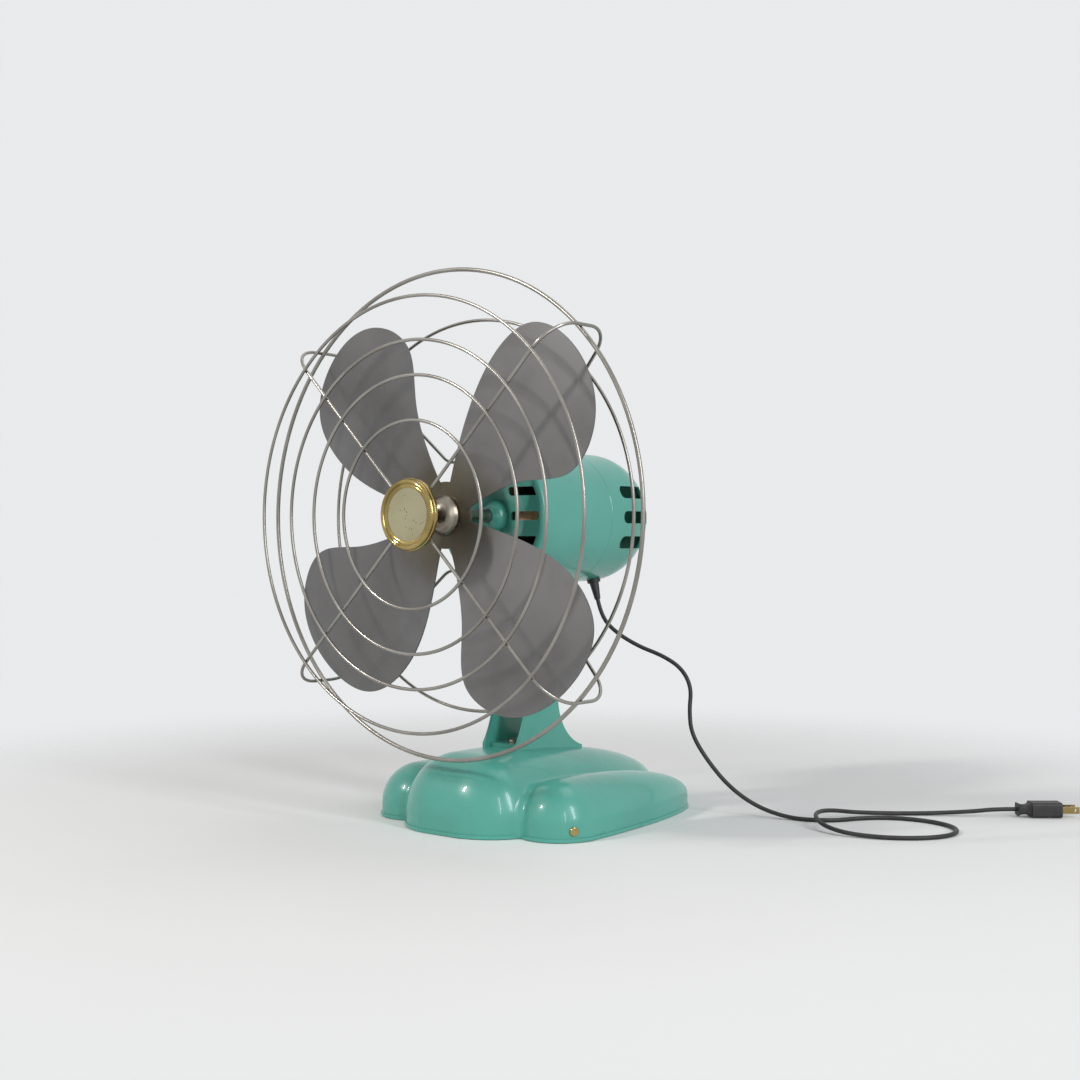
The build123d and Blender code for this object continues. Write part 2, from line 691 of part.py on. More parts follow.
coil_inner = (POLE_W + 2 * COIL_FIT, STACK + 2 * COIL_FIT)
coil_r_in = BORE_R + POLE_SHOE_T + COIL_GAP
coil_r_out = math.sqrt((INNER_R - STATOR_RING - COIL_GAP) ** 2 - (coil_inner[0] / 2 + COIL_W) ** 2)
with BuildPart() as stator_windings:
    for i in range(4):
        start = around_axis(stator_front_y + STACK / 2, coil_r_in, 90 * i)
        out = start - around_axis(start.Y, 0, 0)
        with BuildSketch(Plane(origin=start, x_dir=out.cross(Vector(0, 1, 0)), z_dir=out)):
            RectangleRounded(coil_inner[0] + 2 * COIL_W, coil_inner[1] + 2 * COIL_W, COIL_W)
            RectangleRounded(coil_inner[0], coil_inner[1], 2 * COIL_FIT, mode=Mode.SUBTRACT)
        extrude(amount=coil_r_out - coil_r_in)
    coil_nose_r = BOSS_R + COIL_NOSE_GAP
    with BuildSketch(cross_plane(stator_front_y - COIL_NOSE_OUT)):
        with PolarLocations(0, 4):
            with Locations(((coil_nose_r + coil_r_out) / 2, 0)):
                Rectangle(coil_r_out - coil_nose_r, POLE_W)
    extrude(amount=-COIL_NOSE_T)
save(stator_windings, "stator_windings")

# Guard clips: a bent strap hooks over each straight run and is screwed to the motor face
with BuildPart() as guard_clips:
    for side in (-1, 1):
        with BuildSketch(AXIS_PLANE.offset(-CLIP_W / 2)):
            with Locations((run_y, side * RUN_H)):
                Circle(FRAME_WIRE / 2 + CLIP_T)
            flange_end = CLIP_SCREW_H - CLIP_HEAD_R - 0.5
            with Locations((FACE_Y - CLIP_T / 2, side * (flange_end + RUN_H - FRAME_WIRE / 2) / 2)):
                Rectangle(CLIP_T, RUN_H - FRAME_WIRE / 2 - flange_end)
            with Locations((run_y, side * RUN_H)):
                Circle(FRAME_WIRE / 2, mode=Mode.SUBTRACT)
            with Locations((run_y + FRAME_WIRE / 2, side * RUN_H)):
                Rectangle(FRAME_WIRE, FRAME_WIRE, mode=Mode.SUBTRACT)
            with Locations((FACE_Y + HOUSING_R / 2, 0)):
                Rectangle(HOUSING_R, 2 * HOUSING_R, mode=Mode.SUBTRACT)
        extrude(amount=CLIP_W)
    with BuildSketch(cross_plane(FACE_Y)):
        with Locations((0, CLIP_SCREW_H), (0, -CLIP_SCREW_H)):
            Circle(CLIP_SCREW_R)
    extrude(amount=2 * CLIP_T, mode=Mode.SUBTRACT)
save(guard_clips, "guard_clips")

clip_seats = [
    (around_axis(FACE_Y - CLIP_T, CLIP_SCREW_H, turn), Vector(0, -1, 0)) for turn in (90, -90)
]
headed_pins("guard_clip_screws", clip_seats, CLIP_SCREW_R, CLIP_HEAD_R, 2.0, 6.0)

# Tilt bracket: a saddle riveted under the front housing with two ears on the tilt bolt
ear_out = YOKE_HALF_W - SHEET - TILT_WASHER_T - 2 * RUN_FIT
ear_in = ear_out - SHEET
saddle_r = HOUSING_R + SHEET
pivot_drop = AXIS_Z - PIVOT_Z
with BuildPart() as tilt_bracket:
    with BuildSketch(cross_plane(PIVOT_Y - EAR_HALF)):
        with BuildLine():
            low = CenterArc((0, 0), saddle_r, -90 - SADDLE_ARC / 2, SADDLE_ARC)
            high = CenterArc((0, 0), HOUSING_R, -90 - SADDLE_ARC / 2, SADDLE_ARC)
            Line(low @ 0, high @ 0)
            Line(low @ 1, high @ 1)
        make_face()
    extrude(amount=-2 * EAR_HALF)
    for side in (-1, 1):
        with BuildSketch(AXIS_PLANE.offset(side * ear_in)):
            with BuildLine():
                Polyline(
                    (PIVOT_Y - EAR_R, -pivot_drop),
                    (PIVOT_Y - EAR_HALF, -HOUSING_R + 4),
                    (PIVOT_Y + EAR_HALF, -HOUSING_R + 4),
                    (PIVOT_Y + EAR_R, -pivot_drop),
                )
                ThreePointArc(
                    (PIVOT_Y + EAR_R, -pivot_drop),
                    (PIVOT_Y, -pivot_drop - EAR_R),
                    (PIVOT_Y - EAR_R, -pivot_drop),
                )
            make_face()
            with Locations((PIVOT_Y, -pivot_drop)):
                Circle(PIVOT_BOLT_R + HOLE_FIT, mode=Mode.SUBTRACT)
        extrude(amount=side * SHEET)
    with BuildSketch(cross_plane(PIVOT_Y - 2 * EAR_HALF)):
        Circle(HOUSING_R)
    extrude(amount=-4 * EAR_HALF, mode=Mode.SUBTRACT)
    for y_step in (-RIVET_REACH, RIVET_REACH):
        for turn in (-90 - RIVET_ARC, -90 + RIVET_ARC):
            seat, out = radial_seat(PIVOT_Y + y_step, HOUSING_R, turn)
            with BuildSketch(Plane(origin=seat, z_dir=out)):
                Circle(RIVET_R)
            extrude(amount=2 * SHEET, both=True, mode=Mode.SUBTRACT)
save(tilt_bracket, "tilt_bracket")

rivet_seats = [
    radial_seat(PIVOT_Y + y_step, saddle_r, turn)
    for y_step in (-RIVET_REACH, RIVET_REACH)
    for turn in (-90 - RIVET_ARC, -90 + RIVET_ARC)
]
headed_pins("bracket_rivets", rivet_seats, RIVET_R, RIVET_HEAD_R, 1.8, SHEET + WALL)

# Tilt bolt, nut, friction washers and the spacer between the ears
PIVOT_PLANE = Plane(origin=(0, PIVOT_Y, PIVOT_Z), x_dir=(0, 1, 0), z_dir=(1, 0, 0))
with BuildPart() as tilt_bolt:
    with BuildSketch(PIVOT_PLANE.offset(YOKE_HALF_W)):
        Circle(BOLT_HEAD_R)
    extrude(amount=BOLT_HEAD_T)
    fillet(tilt_bolt.faces().sort_by(Axis.X)[-1].edges(), 0.6 * BOLT_HEAD_T)
    with BuildSketch(PIVOT_PLANE.offset(YOKE_HALF_W)):
        Circle(PIVOT_BOLT_R)
    extrude(amount=-(2 * YOKE_HALF_W + 1.4 * NUT_T))
save(tilt_bolt, "tilt_bolt")

with BuildPart() as tilt_nut:
    with BuildSketch(PIVOT_PLANE.offset(-YOKE_HALF_W)):
        RegularPolygon(1.85 * PIVOT_BOLT_R, 6)
        Circle(PIVOT_BOLT_R, mode=Mode.SUBTRACT)
    extrude(amount=-NUT_T)
save(tilt_nut, "tilt_nut")

with BuildPart() as tilt_washers:
    for side in (-1, 1):
        with BuildSketch(PIVOT_PLANE.offset(side * (YOKE_HALF_W - SHEET - RUN_FIT))):
            Circle(TILT_WASHER_R)
            Circle(PIVOT_BOLT_R + HOLE_FIT, mode=Mode.SUBTRACT)
        extrude(amount=-side * TILT_WASHER_T)
save(tilt_washers, "tilt_washers")

with BuildPart() as tilt_spacer:
    with BuildSketch(PIVOT_PLANE.offset(-ear_in)):
        Circle(PIVOT_BOLT_R + SHEET)
        Circle(PIVOT_BOLT_R + 2 * HOLE_FIT, mode=Mode.SUBTRACT)
    extrude(amount=2 * ear_in)
save(tilt_spacer, "tilt_spacer")


CENTRE_LOBE = (LOBE_R, LOBE_NOSE_Y, LOBE_NOSE_LENGTH, LOBE_CREST_Y, LOBE_TAIL_Y)
SIDE_LOBE = (SIDE_R, SIDE_NOSE_Y, SIDE_NOSE_LENGTH, SIDE_CREST_Y, SIDE_TAIL_Y)


# One base lobe: an upright skirt under a rounded back with an elliptic nose and a long elliptic
# tail. The inset gives the inside of the shell from the same form.
def lobe_tips(lobe, inset):
    """Front and rear end of a lobe."""
    radius, nose_y, nose_length, crest_y, tail_y = lobe
    share = math.cos(math.radians(TIP_TURN))
    front = nose_y + nose_length - (nose_length - inset) * share
    return front, crest_y + (tail_y - inset - crest_y) * share


def half_outline(lobe, inset):
    """Half outline of a lobe, from its own axis out to its side, with a small flat at each tip."""
    radius, nose_y, nose_length, crest_y, tail_y = lobe
    r = radius - inset
    nose_centre = nose_y + nose_length
    front, back = lobe_tips(lobe, inset)
    turns = [math.radians((90 - TIP_TURN) * i / 8) for i in range(9)]
    nose_reach = nose_length - inset
    tail_reach = tail_y - inset - crest_y
    nose = [(r * math.cos(turn), nose_centre - nose_reach * math.sin(turn)) for turn in turns]
    tail = [(r * math.cos(turn), crest_y + tail_reach * math.sin(turn)) for turn in turns]
    nose_end = (-r * math.sin(turns[-1]), -nose_reach * math.cos(turns[-1]))
    tail_end = (-r * math.sin(turns[-1]), tail_reach * math.cos(turns[-1]))
    Spline(*nose, tangents=[(0, -1), nose_end])
    Line((r, nose_centre), (r, crest_y))
    Spline(*tail, tangents=[(0, 1), tail_end])
    Polyline(tail[-1], (0, back), (0, front), nose[-1])


def lobe_outline(lobe, flat, inset):
    """Floor outline of a lobe that has a flat strip along its middle."""
    front, back = lobe_tips(lobe, inset)
    with BuildSketch() as half:
        with BuildLine():
            half_outline(lobe, inset)
        make_face()
    with BuildSketch() as outline:
        with Locations((flat, 0)):
            add(half.sketch)
        mirror(about=Plane.YZ)
        if flat:
            with Locations((0, (front + back) / 2)):
                Rectangle(2 * flat, back - front)
    return outline.sketch


def lobe_solid(lobe, flat, inset, level):
    """Skirt and rounded back of one lobe."""
    with BuildPart() as solid:
        with BuildSketch(Plane.XY.offset(level)):
            add(lobe_outline(lobe, flat, inset))
        extrude(amount=SKIRT_H - level)
        with BuildSketch(Plane(origin=(flat, 0, SKIRT_H))):
            with BuildLine():
                half_outline(lobe, inset)
            make_face()
        revolve(axis=Axis((flat, 0, SKIRT_H), (0, -1, 0)), revolution_arc=90 if flat else 180)
        if flat:
            upright = Plane(origin=(flat, 0, SKIRT_H), x_dir=(0, 0, 1), z_dir=(-1, 0, 0))
            with BuildSketch(upright):
                with BuildLine():
                    half_outline(lobe, inset)
                make_face()
            extrude(amount=2 * flat)
            with BuildSketch(upright.offset(2 * flat)):
                with BuildLine():
                    half_outline(lobe, inset)
                make_face()
            revolve(axis=Axis((-flat, 0, SKIRT_H), (0, -1, 0)), revolution_arc=90)
    return solid.part


def base_plan(inset):
    """Floor outline of the three lobes."""
    add(lobe_outline(CENTRE_LOBE, LOBE_FLAT, inset))
    with Locations((-SIDE_X, 0), (SIDE_X, 0)):
        add(lobe_outline(SIDE_LOBE, 0, inset))


def base_form(inset, level):
    """The three lobes fused, as one solid standing on the table."""
    centre = lobe_solid(CENTRE_LOBE, LOBE_FLAT, inset, level)
    side = lobe_solid(SIDE_LOBE, 0, inset, level)
    with BuildPart() as form:
        add(centre)
        with Locations((-SIDE_X, 0, 0), (SIDE_X, 0, 0)):
            add(side)
    return form


def side_screw_seat(side, angle):
    """Where a side screw meets the skirt of a side lobe, and the direction that it faces."""
    turn = math.radians(angle)
    x = SIDE_X + SIDE_R * math.cos(turn)
    y = SIDE_NOSE_Y + SIDE_NOSE_LENGTH * (1 - math.sin(turn))
    out = Vector(side * math.cos(turn) / SIDE_R, -math.sin(turn) / SIDE_NOSE_LENGTH, 0)
    return Vector(side * x, y, SIDE_SCREW_Z), out.normalized()


def crest_height(y, inset):
    """Height of the flat strip along the top of the centre lobe, behind its crest."""
    back = max(0, y - LOBE_CREST_Y) / (LOBE_TAIL_Y - inset - LOBE_CREST_Y)
    return SKIRT_H + (LOBE_R - inset) * math.sqrt(1 - back**2)


side_seats = [side_screw_seat(-1, LEFT_SCREW_TURN), side_screw_seat(1, RIGHT_SCREW_TURN)]

outer_form = base_form(0, BASE_LIFT)
inner_form = base_form(BASE_WALL, -LIP_H)
with BuildPart() as base_shell:
    add(outer_form.part)
    valleys = [
        edge for edge in base_shell.edges().filter_by(GeomType.BSPLINE)
        if edge.bounding_box().size.Z > WELD
        and SIDE_X - SIDE_R < abs((edge @ 0.5).X) < LOBE_FLAT + LOBE_R
    ]
    fillet(valleys, VALLEY_FILLET)
    with BuildSketch(Plane.XY.offset(BASE_LIFT)):
        base_plan(-LIP_OUT)
    extrude(amount=LIP_H)
    add(inner_form.part, mode=Mode.SUBTRACT)
    web_ys = (PIVOT_Y - YOKE_SCREW_SPREAD, PIVOT_Y + YOKE_SCREW_SPREAD)
    with BuildSketch(Plane.XY.offset(LOBE_TOP / 2)):
        with Locations([(0, y) for y in web_ys]):
            Circle(YOKE_SCREW_R + HOLE_FIT)
    extrude(amount=LOBE_TOP, mode=Mode.SUBTRACT)
    for seat, out in side_seats:
        with BuildSketch(Plane(origin=seat, z_dir=out)):
            Circle(SIDE_SCREW_R + HOLE_FIT)
        extrude(amount=2 * BASE_WALL, both=True, mode=Mode.SUBTRACT)
save(base_shell, "base_shell")

# Bottom plate inside the rim with a turned-up tab behind each side screw
with BuildPart() as base_bottom_plate:
    with BuildSketch(Plane.XY.offset(FOOT_PAD_H)):
        base_plan(BASE_WALL + PLATE_FIT)
    extrude(amount=PLATE_T)
    for seat, out in side_seats:
        tab_seat = seat - out * (BASE_WALL + PLATE_FIT)
        tab_plane = Plane(origin=tab_seat, x_dir=Vector(0, 0, 1).cross(out), z_dir=out)
        tab_h = SIDE_SCREW_Z + 2 * SIDE_SCREW_R - FOOT_PAD_H
        with BuildSketch(tab_plane):
            with Locations((0, FOOT_PAD_H + tab_h / 2 - SIDE_SCREW_Z)):
                Rectangle(TAB_W, tab_h)
            Circle(SIDE_SCREW_R, mode=Mode.SUBTRACT)
        extrude(amount=-TAB_T)
save(base_bottom_plate, "base_bottom_plate")

headed_pins(
    "base_side_screws", side_seats, SIDE_SCREW_R, SIDE_SCREW_HEAD_R, SIDE_SCREW_HEAD_T,
    BASE_WALL + PLATE_FIT + TAB_T + 3,
)

pad_ys = (SIDE_NOSE_Y + PAD_FRONT_IN, SIDE_TAIL_Y - PAD_REAR_IN)
pad_places = [(side * SIDE_X, y) for side in (-1, 1) for y in pad_ys]
with BuildPart() as base_feet:
    with BuildSketch():
        with Locations(pad_places):
            Circle(FOOT_PAD_R)
    extrude(amount=FOOT_PAD_H)
save(base_feet, "base_feet")

# Yoke: two flared cheeks on a web that seats on the crest of the base
web_top = LOBE_TOP + SHEET
YOKE_PLANE = Plane(origin=(0, PIVOT_Y, 0), x_dir=(0, 1, 0), z_dir=(1, 0, 0))
with BuildPart() as yoke:
    for side in (-1, 1):
        with BuildSketch(YOKE_PLANE.offset(side * (YOKE_HALF_W - SHEET))):
            with BuildLine():
                Line((-CHEEK_TOP_R, PIVOT_Z), (-NECK_FRONT, NECK_Z))
                TangentArc(
                    (-NECK_FRONT, NECK_Z), (-FOOT_FRONT, FOOT_FRONT_Z),
                    tangent=(-(NECK_FRONT - CHEEK_TOP_R), NECK_Z - PIVOT_Z),
                )
                Polyline(
                    (-FOOT_FRONT, FOOT_FRONT_Z), (-FOOT_FRONT, FOOT_Z), (FOOT_REAR, FOOT_Z),
                    (FOOT_REAR, FOOT_REAR_Z),
                )
                TangentArc(
                    (NECK_REAR, NECK_Z), (FOOT_REAR, FOOT_REAR_Z),
                    tangent=(NECK_REAR - CHEEK_TOP_R, NECK_Z - PIVOT_Z),
                )
                Line((NECK_REAR, NECK_Z), (CHEEK_TOP_R, PIVOT_Z))
                ThreePointArc(
                    (CHEEK_TOP_R, PIVOT_Z), (0, PIVOT_Z + CHEEK_TOP_R), (-CHEEK_TOP_R, PIVOT_Z)
                )
            make_face()
            with Locations((0, PIVOT_Z)):
                Circle(PIVOT_BOLT_R + HOLE_FIT, mode=Mode.SUBTRACT)
        extrude(amount=side * SHEET)
    with BuildSketch(Plane(origin=(0, PIVOT_Y, FOOT_Z))):
        Rectangle(2 * (YOKE_HALF_W - SHEET), 2 * WEB_HALF)
        with Locations((0, -YOKE_SCREW_SPREAD), (0, YOKE_SCREW_SPREAD)):
            Circle(YOKE_SCREW_R + HOLE_FIT, mode=Mode.SUBTRACT)
    extrude(amount=web_top - FOOT_Z)
    add(outer_form.part, mode=Mode.SUBTRACT)
save(yoke, "yoke")

yoke_seats = [(Vector(0, y, web_top), Vector(0, 0, 1)) for y in web_ys]
nut_reach = 1.9 * YOKE_SCREW_R
NUT_GAP = 0.15
nut_tops = [crest_height(y + nut_reach, BASE_WALL) - NUT_GAP for y in web_ys]
headed_pins(
    "yoke_screws", yoke_seats, YOKE_SCREW_R, YOKE_HEAD_R, YOKE_HEAD_T,
    web_top - min(nut_tops) + 1.3 * YOKE_NUT_T,
)
with BuildPart() as yoke_nuts:
    for y, nut_top in zip(web_ys, nut_tops):
        with BuildSketch(Plane(origin=(0, y, nut_top))):
            RegularPolygon(nut_reach, 6)
            Circle(YOKE_SCREW_R, mode=Mode.SUBTRACT)
        extrude(amount=-YOKE_NUT_T)
save(yoke_nuts, "yoke_nuts")

# Rubber grommet with a short tapered sleeve where the cord leaves the motor
GROMMET_PLANE = Plane(
    origin=grommet_seat, x_dir=Vector(0, 1, 0), z_dir=grommet_out.cross(Vector(0, 1, 0))
)
grommet_axis = Axis(grommet_seat, grommet_out)
flange_low = HOUSING_R - math.sqrt(HOUSING_R**2 - GROMMET_FLANGE_R**2)
with BuildPart() as cord_grommet:
    with BuildSketch(Plane(origin=grommet_seat, z_dir=grommet_out)):
        Circle(GROMMET_NECK_R)
    extrude(amount=-2 * WALL)
    with BuildSketch(Plane(origin=grommet_seat, z_dir=grommet_out)):
        Circle(GROMMET_FLANGE_R)
    extrude(amount=GROMMET_FLANGE_T)
    with BuildSketch(Plane(origin=grommet_seat, z_dir=grommet_out)):
        Circle(GROMMET_FLANGE_R - 1.5)
    extrude(amount=GROMMET_LENGTH, taper=6)
save(cord_grommet, "cord_grommet")

# Cord: leaves the grommet, drops to the table, makes one loose loop and runs to the plug
cord_exit = grommet_seat + grommet_out.normalized() * GROMMET_LENGTH
cord_second = grommet_seat + grommet_out.normalized() * (GROMMET_LENGTH + CORD_LEAD)
CORD_DROP = [
    (39, 82, 172), (60, 92, 158), (83, 102, 149), (101, 108, 137), (111, 109, 119), (111, 105, 98),
    (116, 101, 76), (131, 106, 51), (151, 113, 27), (175, 122, 10),
]
CORD_FLOOR = [
    (203, 129, 2.1), (228, 131, 2.1), (247, 144, 2.1), (258, 167, 2.1), (277, 187, 2.1),
    (305, 195, 2.1), (333, 190, 2.1), (354, 172, 2.1), (360, 144, 2.1), (346, 116, 2.1),
    (318, 97, 2.1), (287, 89, 3), (261, 94, 6), (243, 110, 10), (235, 131, 11), (237, 155, 9),
    (247, 180, 4.5), (268, 207, 2.1), (300, 232, 2.2), (334, 252, 5), (351.2, 263.7, 7.5),
]
plug_out = Vector(math.cos(math.radians(PLUG_TURN)), math.sin(math.radians(PLUG_TURN)), 0)
plug_seat = Vector(PLUG_X, PLUG_Y, PLUG_Z)


def cord_tube(name, points):
    """Round cord along straight runs joined by arcs as large as the runs allow."""
    points = [Vector(point) for point in points]
    radii = []
    for before, here, after in zip(points, points[1:], points[2:]):
        turn = math.radians((here - before).get_angle(after - here))
        shorter = min((here - before).length, (after - here).length)
        radii.append(0.45 * shorter / math.tan(turn / 2))
    print(name, "radii", [round(radius) for radius in radii])
    with BuildPart() as tube:
        with BuildLine() as path:
            FilletPolyline(*points, radius=radii)
        with BuildSketch(Plane(origin=points[0], z_dir=points[1] - points[0])):
            Circle(CORD_R)
        sweep(path=path.wires()[0])
    length = path.wires()[0].length
    share = tube.part.volume / (math.pi * CORD_R**2 * length)
    print(name, "length", round(length), "volume share", round(share, 4))
    save(tube, name)


split_at = (Vector(CORD_DROP[-1]) + Vector(CORD_FLOOR[0])) * 0.5
cord_tube("cord_drop", [cord_exit, cord_second] + CORD_DROP + [split_at])
cord_tube("cord_floor", [split_at] + CORD_FLOOR + [plug_seat])

# Plug: moulded body with a waisted finger grip, and two flat blades with a hole near the tip
plug_plane = Plane(origin=plug_seat, x_dir=(-plug_out.Y, plug_out.X, 0), z_dir=plug_out)
with BuildPart() as plug_body:
    with BuildSketch(plug_plane):
        RectangleRounded(0.72 * PLUG_BODY_W, 0.86 * PLUG_BODY_H, 3)
    with BuildSketch(plug_plane.offset(PLUG_RELIEF / 2)):
        RectangleRounded(0.6 * PLUG_BODY_W, 0.62 * PLUG_BODY_H, 3)
    with BuildSketch(plug_plane.offset(PLUG_RELIEF)):
        RectangleRounded(0.8 * PLUG_BODY_W, 0.86 * PLUG_BODY_H, 3)
    loft()
    with BuildSketch(plug_plane.offset(PLUG_RELIEF)):
        RectangleRounded(PLUG_BODY_W, PLUG_BODY_H, 3)
    extrude(amount=PLUG_BODY_LENGTH)
save(plug_body, "plug_body")

with BuildPart() as plug_blades:
    blade_root = plug_plane.offset(PLUG_RELIEF + PLUG_BODY_LENGTH)
    with BuildSketch(blade_root):
        with Locations((-BLADE_SPREAD / 2, 0), (BLADE_SPREAD / 2, 0)):
            Rectangle(BLADE_THICK, BLADE_WIDTH)
    extrude(amount=BLADE_LENGTH)
    hole_at = plug_seat + plug_out * (PLUG_RELIEF + PLUG_BODY_LENGTH + BLADE_LENGTH - 4)
    with BuildSketch(Plane(origin=hole_at, z_dir=(-plug_out.Y, plug_out.X, 0))):
        Circle(1.5)
    extrude(amount=BLADE_SPREAD, both=True, mode=Mode.SUBTRACT)
save(plug_blades, "plug_blades")
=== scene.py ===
# %% [markdown]
# # A mint-green desk fan
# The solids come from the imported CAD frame, in metres, and every one of them already sits in its
# place. This script adds what the solids lack: the finishes, the flexible mains cord, the badge's
# turned ring, the light and the camera. Nothing here moves or resizes a CAD piece.

# %% Load the frame
import math

import bmesh
import bpy
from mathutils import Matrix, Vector


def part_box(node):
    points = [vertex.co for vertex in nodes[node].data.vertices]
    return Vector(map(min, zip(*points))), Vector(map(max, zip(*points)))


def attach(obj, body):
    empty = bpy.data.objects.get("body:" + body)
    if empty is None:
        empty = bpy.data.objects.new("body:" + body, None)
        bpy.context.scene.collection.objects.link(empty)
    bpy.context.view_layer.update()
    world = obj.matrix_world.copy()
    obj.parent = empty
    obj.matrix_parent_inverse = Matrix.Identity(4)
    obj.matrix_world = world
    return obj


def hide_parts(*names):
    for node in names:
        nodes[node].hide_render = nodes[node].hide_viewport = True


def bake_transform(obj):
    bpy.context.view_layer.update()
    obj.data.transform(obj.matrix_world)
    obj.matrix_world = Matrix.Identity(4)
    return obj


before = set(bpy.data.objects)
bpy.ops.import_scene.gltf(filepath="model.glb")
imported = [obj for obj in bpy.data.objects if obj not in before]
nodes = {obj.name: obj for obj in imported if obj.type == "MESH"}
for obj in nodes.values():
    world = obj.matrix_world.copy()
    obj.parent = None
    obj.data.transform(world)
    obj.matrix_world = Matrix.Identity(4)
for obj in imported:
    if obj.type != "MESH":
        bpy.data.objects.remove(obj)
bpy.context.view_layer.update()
print("solids loaded:", len(nodes))

# %% [markdown]
# ## Camera
# The photograph was taken level with the motor, from the front right. A camera can be placed by eye,
# but here its spot was fitted to the six guard rings, which are circles on one axis. With a 50 mm
# lens on a 36 mm square sensor, the rings then lie over the photographed ones.

# %% Camera
LENS = 50
SENSOR = 36
NEAREST = 0.05
FARTHEST = 30
CAMERA_PLACE = (0.9009, -1.1105, 0.2615)
CAMERA_LEVEL = 90
CAMERA_TURN = 38.7


def put_in_scene(name, data):
    thing = bpy.data.objects.new(name, data)
    bpy.context.scene.collection.objects.link(thing)
    return thing


camera_data = bpy.data.cameras.new("photo_camera")
camera_data.lens = LENS
camera_data.sensor_width = SENSOR
camera_data.clip_start = NEAREST
camera_data.clip_end = FARTHEST
camera = put_in_scene("photo_camera", camera_data)
camera.location = CAMERA_PLACE
camera.rotation_euler = (math.radians(CAMERA_LEVEL), 0, math.radians(CAMERA_TURN))
bpy.context.scene.camera = camera
print("camera stands", round(camera.location.length, 2), "m from the middle of the base")

# %% [markdown]
# ## Mains cord
# The cord is a fixed length of rubber that bends: it leaves the motor, drops to the table, makes one
# loose loop that it crosses over, and ends at the plug. Its route could be drawn with the mouse, but
# a short list of points is easier to read and to change. The points were chosen along the
# photographed cord, a few centimetres apart, and the highest of those on the table carry the crossing.

# %% Cord route
CORD_ROUTE = [
    (0.0215, 0.078, 0.2033), (0.0259, 0.078, 0.1869), (0.039, 0.082, 0.172), (0.06, 0.092, 0.158),
    (0.083, 0.102, 0.149), (0.101, 0.108, 0.137), (0.111, 0.109, 0.119), (0.111, 0.105, 0.098),
    (0.116, 0.101, 0.076), (0.131, 0.106, 0.051), (0.151, 0.113, 0.027), (0.175, 0.122, 0.01),
    (0.203, 0.129, 0.0021), (0.228, 0.131, 0.0021), (0.247, 0.144, 0.0021), (0.258, 0.167, 0.0021),
    (0.277, 0.187, 0.0021), (0.305, 0.195, 0.0021), (0.333, 0.19, 0.0021), (0.354, 0.172, 0.0021),
    (0.36, 0.144, 0.0021), (0.346, 0.116, 0.0021), (0.318, 0.097, 0.0021), (0.287, 0.089, 0.003),
    (0.261, 0.094, 0.006), (0.243, 0.11, 0.01), (0.235, 0.131, 0.011), (0.237, 0.155, 0.009),
    (0.247, 0.18, 0.0045), (0.268, 0.207, 0.0021), (0.3, 0.232, 0.0022), (0.334, 0.252, 0.005),
    (0.3512, 0.2637, 0.0075), (0.367, 0.276, 0.0075),
]
print("route points:", len(CORD_ROUTE))

# %% [markdown]
# ## Cord line
# Straight tubes with bends between them would look like wire, and a rubber cord has no straight runs. A
# NURBS spline of order 3 takes the route's points as its controls and makes one smooth line of them.
# The order is set after the points are there, or it stays at 2. The line is read back as points, which
# give the cord's length.

# %% Cord line
CORD_ORDER = 3
LINE_STEPS = 8
TUBE_STEPS = 5


def cord_curve(name, bevel):
    curve = bpy.data.curves.new(name, "CURVE")
    curve.dimensions = "3D"
    curve.resolution_u = LINE_STEPS
    curve.bevel_depth = bevel
    curve.bevel_resolution = TUBE_STEPS
    curve.use_fill_caps = True
    spline = curve.splines.new("NURBS")
    spline.points.add(len(CORD_ROUTE) - 1)
    for control, point in zip(spline.points, CORD_ROUTE):
        control.co = (*point, 1)
    spline.order_u = CORD_ORDER
    spline.use_endpoint_u = True
    return bpy.data.objects.new(name, curve)


route_line = cord_curve("cord_line", bevel=0)
cord_path = [vertex.co.copy() for vertex in bpy.data.meshes.new_from_object(route_line).vertices]
bpy.data.objects.remove(route_line)
cord_length = sum((b - a).length for a, b in zip(cord_path, cord_path[1:]))
print("cord length", round(cord_length, 3), "m")

# %% [markdown]
# ## Cord tube
# The same curve with a bevel is the round rubber sheath. It could stay a curve, but here it becomes
# a mesh with smooth faces, and the two CAD pieces that stood for the cord are hidden.

# %% Cord tube
CORD_RADIUS = 0.002
tube_curve = cord_curve("cord_tube", bevel=CORD_RADIUS)
cord = put_in_scene("mains_cord", bpy.data.meshes.new_from_object(tube_curve))
cord.data.name = "mains_cord"
bpy.data.objects.remove(tube_curve)
for face in cord.data.polygons:
    face.use_smooth = True
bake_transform(cord)
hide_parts("cord_drop", "cord_floor")
print("cord tube faces:", len(cord.data.polygons))

# %% [markdown]
# ## Badge bezel
# The brass ring round the badge is turned from bar: a full outer roll, a narrow groove, and a dished
# inner ring that runs down to the enamel disc. It could be piled up from plain rings, but a turned
# part is one profile taken once round an axis, so the profile comes first. Each of its points is a
# depth behind the ring's front and a radius, in millimetres. The seat of the disc and the end of the
# boss behind it are read from the frame, so that the ring fits its neighbours.

